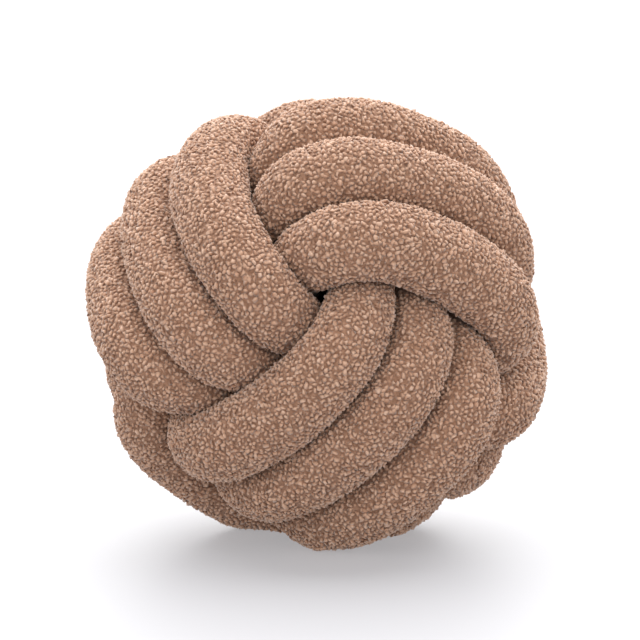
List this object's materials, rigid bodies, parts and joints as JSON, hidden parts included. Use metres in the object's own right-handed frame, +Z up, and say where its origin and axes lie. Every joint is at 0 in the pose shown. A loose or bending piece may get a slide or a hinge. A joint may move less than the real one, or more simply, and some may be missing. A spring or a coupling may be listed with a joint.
{
  "type": "knot cushion",
  "caption": "Round decorative cushion made of one long stuffed tube of curly cloth, tied into a ball as a monkey's fist knot.",
  "frame": {"origin": "on the floor, below the middle of the ball's box", "axes": "+Z up; -Y towards the viewer of the ball's front"},
  "size_m": [0.304, 0.3094, 0.296],
  "materials": {
    "curly_cloth": "curly teddy cloth, light brown"
  },
  "bodies": {
    "root": {"knotted_tube": "curly_cloth"}
  },
  "joints": []
}
